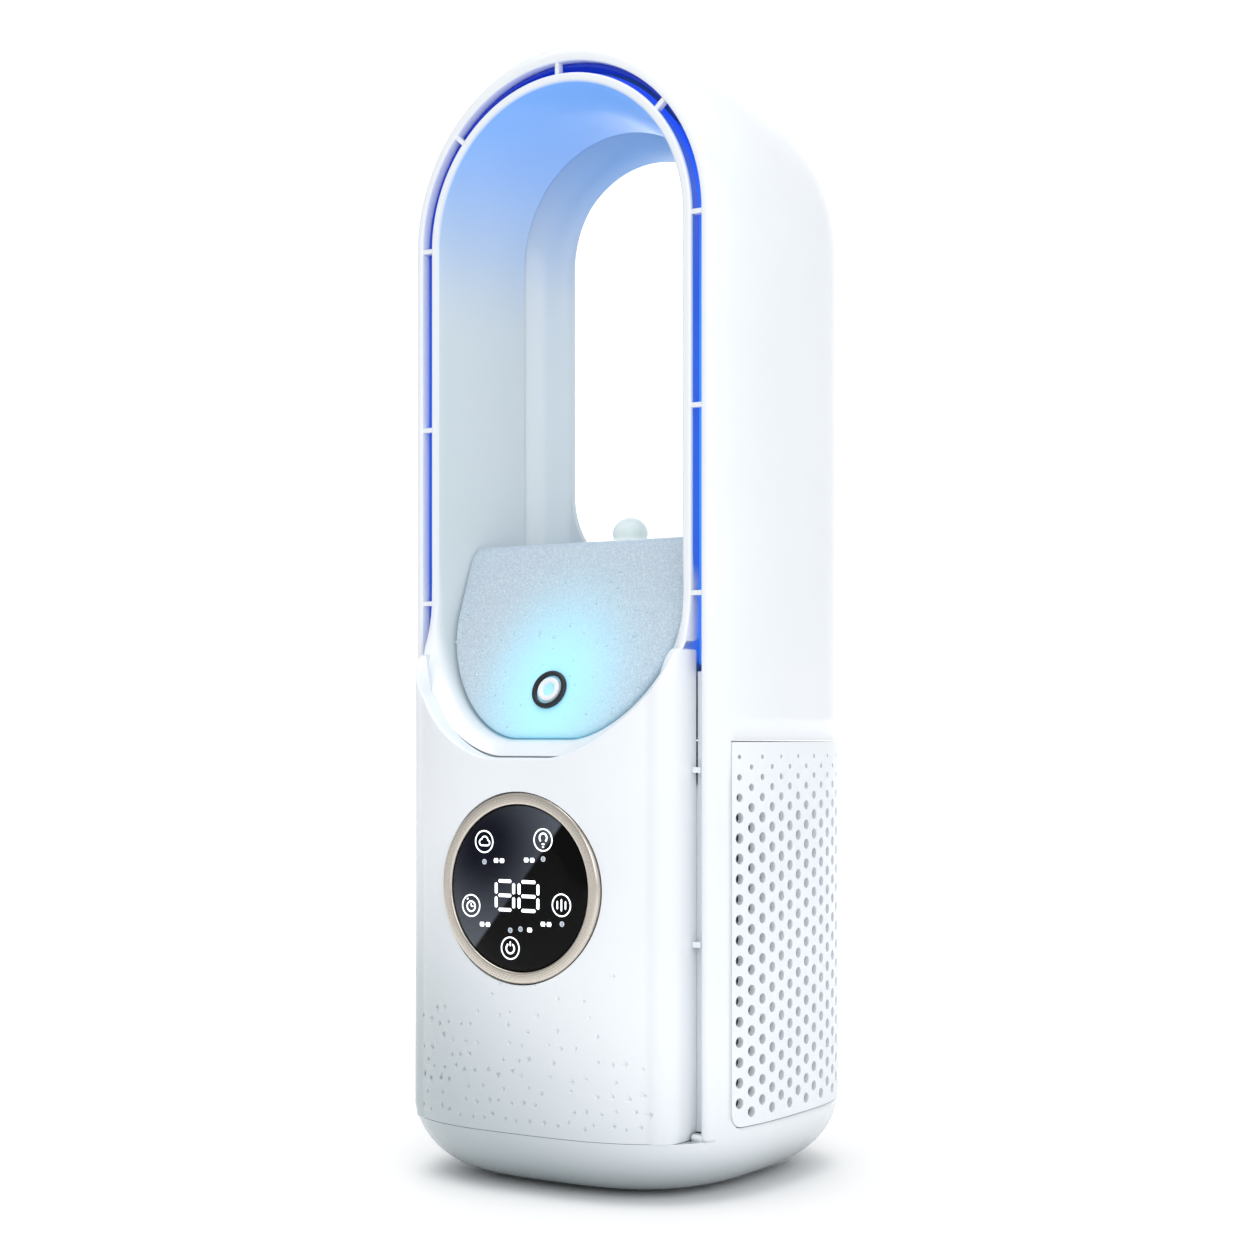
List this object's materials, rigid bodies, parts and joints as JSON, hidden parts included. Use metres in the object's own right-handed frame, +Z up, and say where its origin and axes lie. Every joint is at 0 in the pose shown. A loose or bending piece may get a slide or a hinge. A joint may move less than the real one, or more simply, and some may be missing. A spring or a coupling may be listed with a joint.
{
  "type": "tower fan",
  "caption": "Bladeless desktop tower fan: tall white arch blowing from a slit round an open tunnel, with a frosted mist tank in the tunnel, a round touch display and perforated intakes.",
  "frame": {"origin": "centre of the footprint, on the table, at the height of the feet's undersides", "axes": "+Z up, -Y towards the person in front of the fan, +X to the right when looking along +Y"},
  "size_m": [0.1166, 0.1158, 0.3387],
  "materials": {
    "white_plastic": "glossy bluish-white moulded plastic",
    "frosted_tank": "frosted translucent plastic, lit cyan from behind",
    "bezel_metal": "spun champagne-silver trim",
    "display_black": "piano-black touch window",
    "digit_face": "dark digit block with lit white segments",
    "circuit_board": "green solder mask",
    "filter_mesh": "dark woven dust mesh",
    "steel": "plated steel",
    "motor_metal": "dark grey can",
    "rubber": "matt black rubber",
    "blade_plastic": "satin pale grey plastic",
    "soft_plug": "soft translucent silicone",
    "nozzle_dark": "dark glossy ring",
    "nozzle_white": "glossy white insert",
    "wick_felt": "pressed cotton felt",
    "lamp_blue": "blue lit strip"
  },
  "bodies": {
    "body": {"outer_shell": "white_plastic", "rear_duct": "white_plastic", "nozzle_ring": "white_plastic", "front_panel": "white_plastic", "front_frame": "white_plastic", "intake_grille": "white_plastic", "base_plate": "white_plastic", "blower_stand": "white_plastic", "blower_housing": "white_plastic", "plenum": "white_plastic", "stator": "white_plastic", "dust_filter": "filter_mesh", "rubber_foot_1": "rubber", "base_screw_1": "steel", "rubber_foot_2": "rubber", "base_screw_2": "steel", "rubber_foot_3": "rubber", "base_screw_3": "steel", "rubber_foot_4": "rubber", "base_screw_4": "steel", "motor": "motor_metal", "display_bezel": "bezel_metal", "display_glass": "display_black", "digit_module": "digit_face", "display_board": "circuit_board", "key_spring_1": "steel", "key_spring_2": "steel", "key_spring_3": "steel", "key_spring_4": "steel", "key_spring_5": "steel", "power_board": "circuit_board", "power_port": "steel", "water_tank": "frosted_tank", "mist_nozzle_bezel": "nozzle_dark", "mist_nozzle_insert": "nozzle_white", "atomiser_disc": "steel", "mist_wick": "wick_felt", "tank_lamp": "lamp_blue", "light_guide": "lamp_blue", "light_strip": "lamp_blue"},
    "rotor": {"motor_shaft": "steel", "impeller": "blade_plastic", "shaft_nut": "steel"},
    "plug": {"filler_plug": "soft_plug"}
  },
  "joints": [
    {"name": "impeller_spin", "type": "hinge", "parent": "body", "child": "rotor", "pos_m": [0, 0, 0.067], "axis": [0, 0, 1], "continuous": true},
    {"name": "plug_lift", "type": "slide", "parent": "body", "child": "plug", "axis": [0, 0, 1], "range_m": [0, 0.03]}
  ]
}
